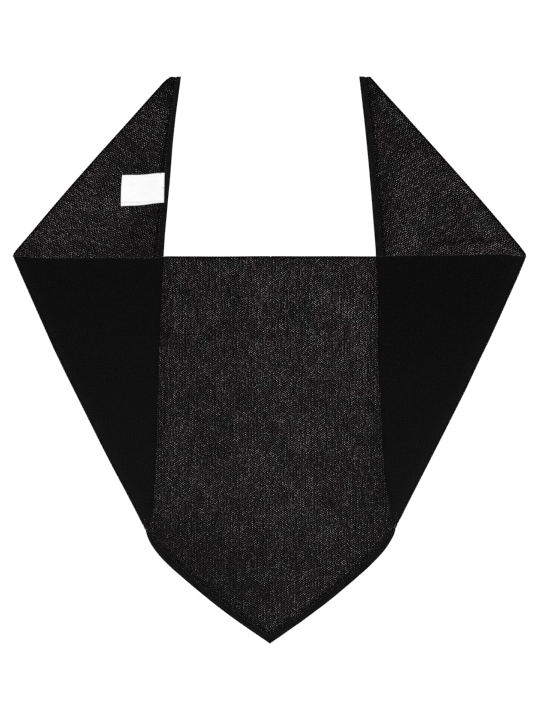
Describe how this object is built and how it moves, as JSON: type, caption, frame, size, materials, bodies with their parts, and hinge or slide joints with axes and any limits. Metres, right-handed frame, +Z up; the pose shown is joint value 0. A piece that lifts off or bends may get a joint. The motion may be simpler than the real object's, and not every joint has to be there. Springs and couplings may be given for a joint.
{
  "type": "triangle scarf",
  "caption": "Fine-knit triangle scarf laid flat, both ends of its long edge folded under the front, with a double-knit hem and a plain care label",
  "frame": {"origin": "on the surface that the scarf lies on, under the middle of its laid-out box", "axes": "+X to the right across the front, +Y from the apex towards the long edge and the wings' tips, +Z up from the surface"},
  "size_m": [0.5124, 0.5658, 0.0043],
  "materials": {
    "jersey": "matt, open jersey knit",
    "hem": "matt, close double knit",
    "label": "soft satin"
  },
  "bodies": {
    "root": {"front_panel": "jersey", "left_fold": "jersey", "right_fold": "jersey", "left_wing": "jersey", "right_wing": "jersey", "front_hem_left": "hem", "front_hem_right": "hem", "hem_fold_left": "hem", "hem_fold_right": "hem", "wing_hem_left": "hem", "wing_hem_right": "hem", "care_label": "label"}
  },
  "joints": []
}
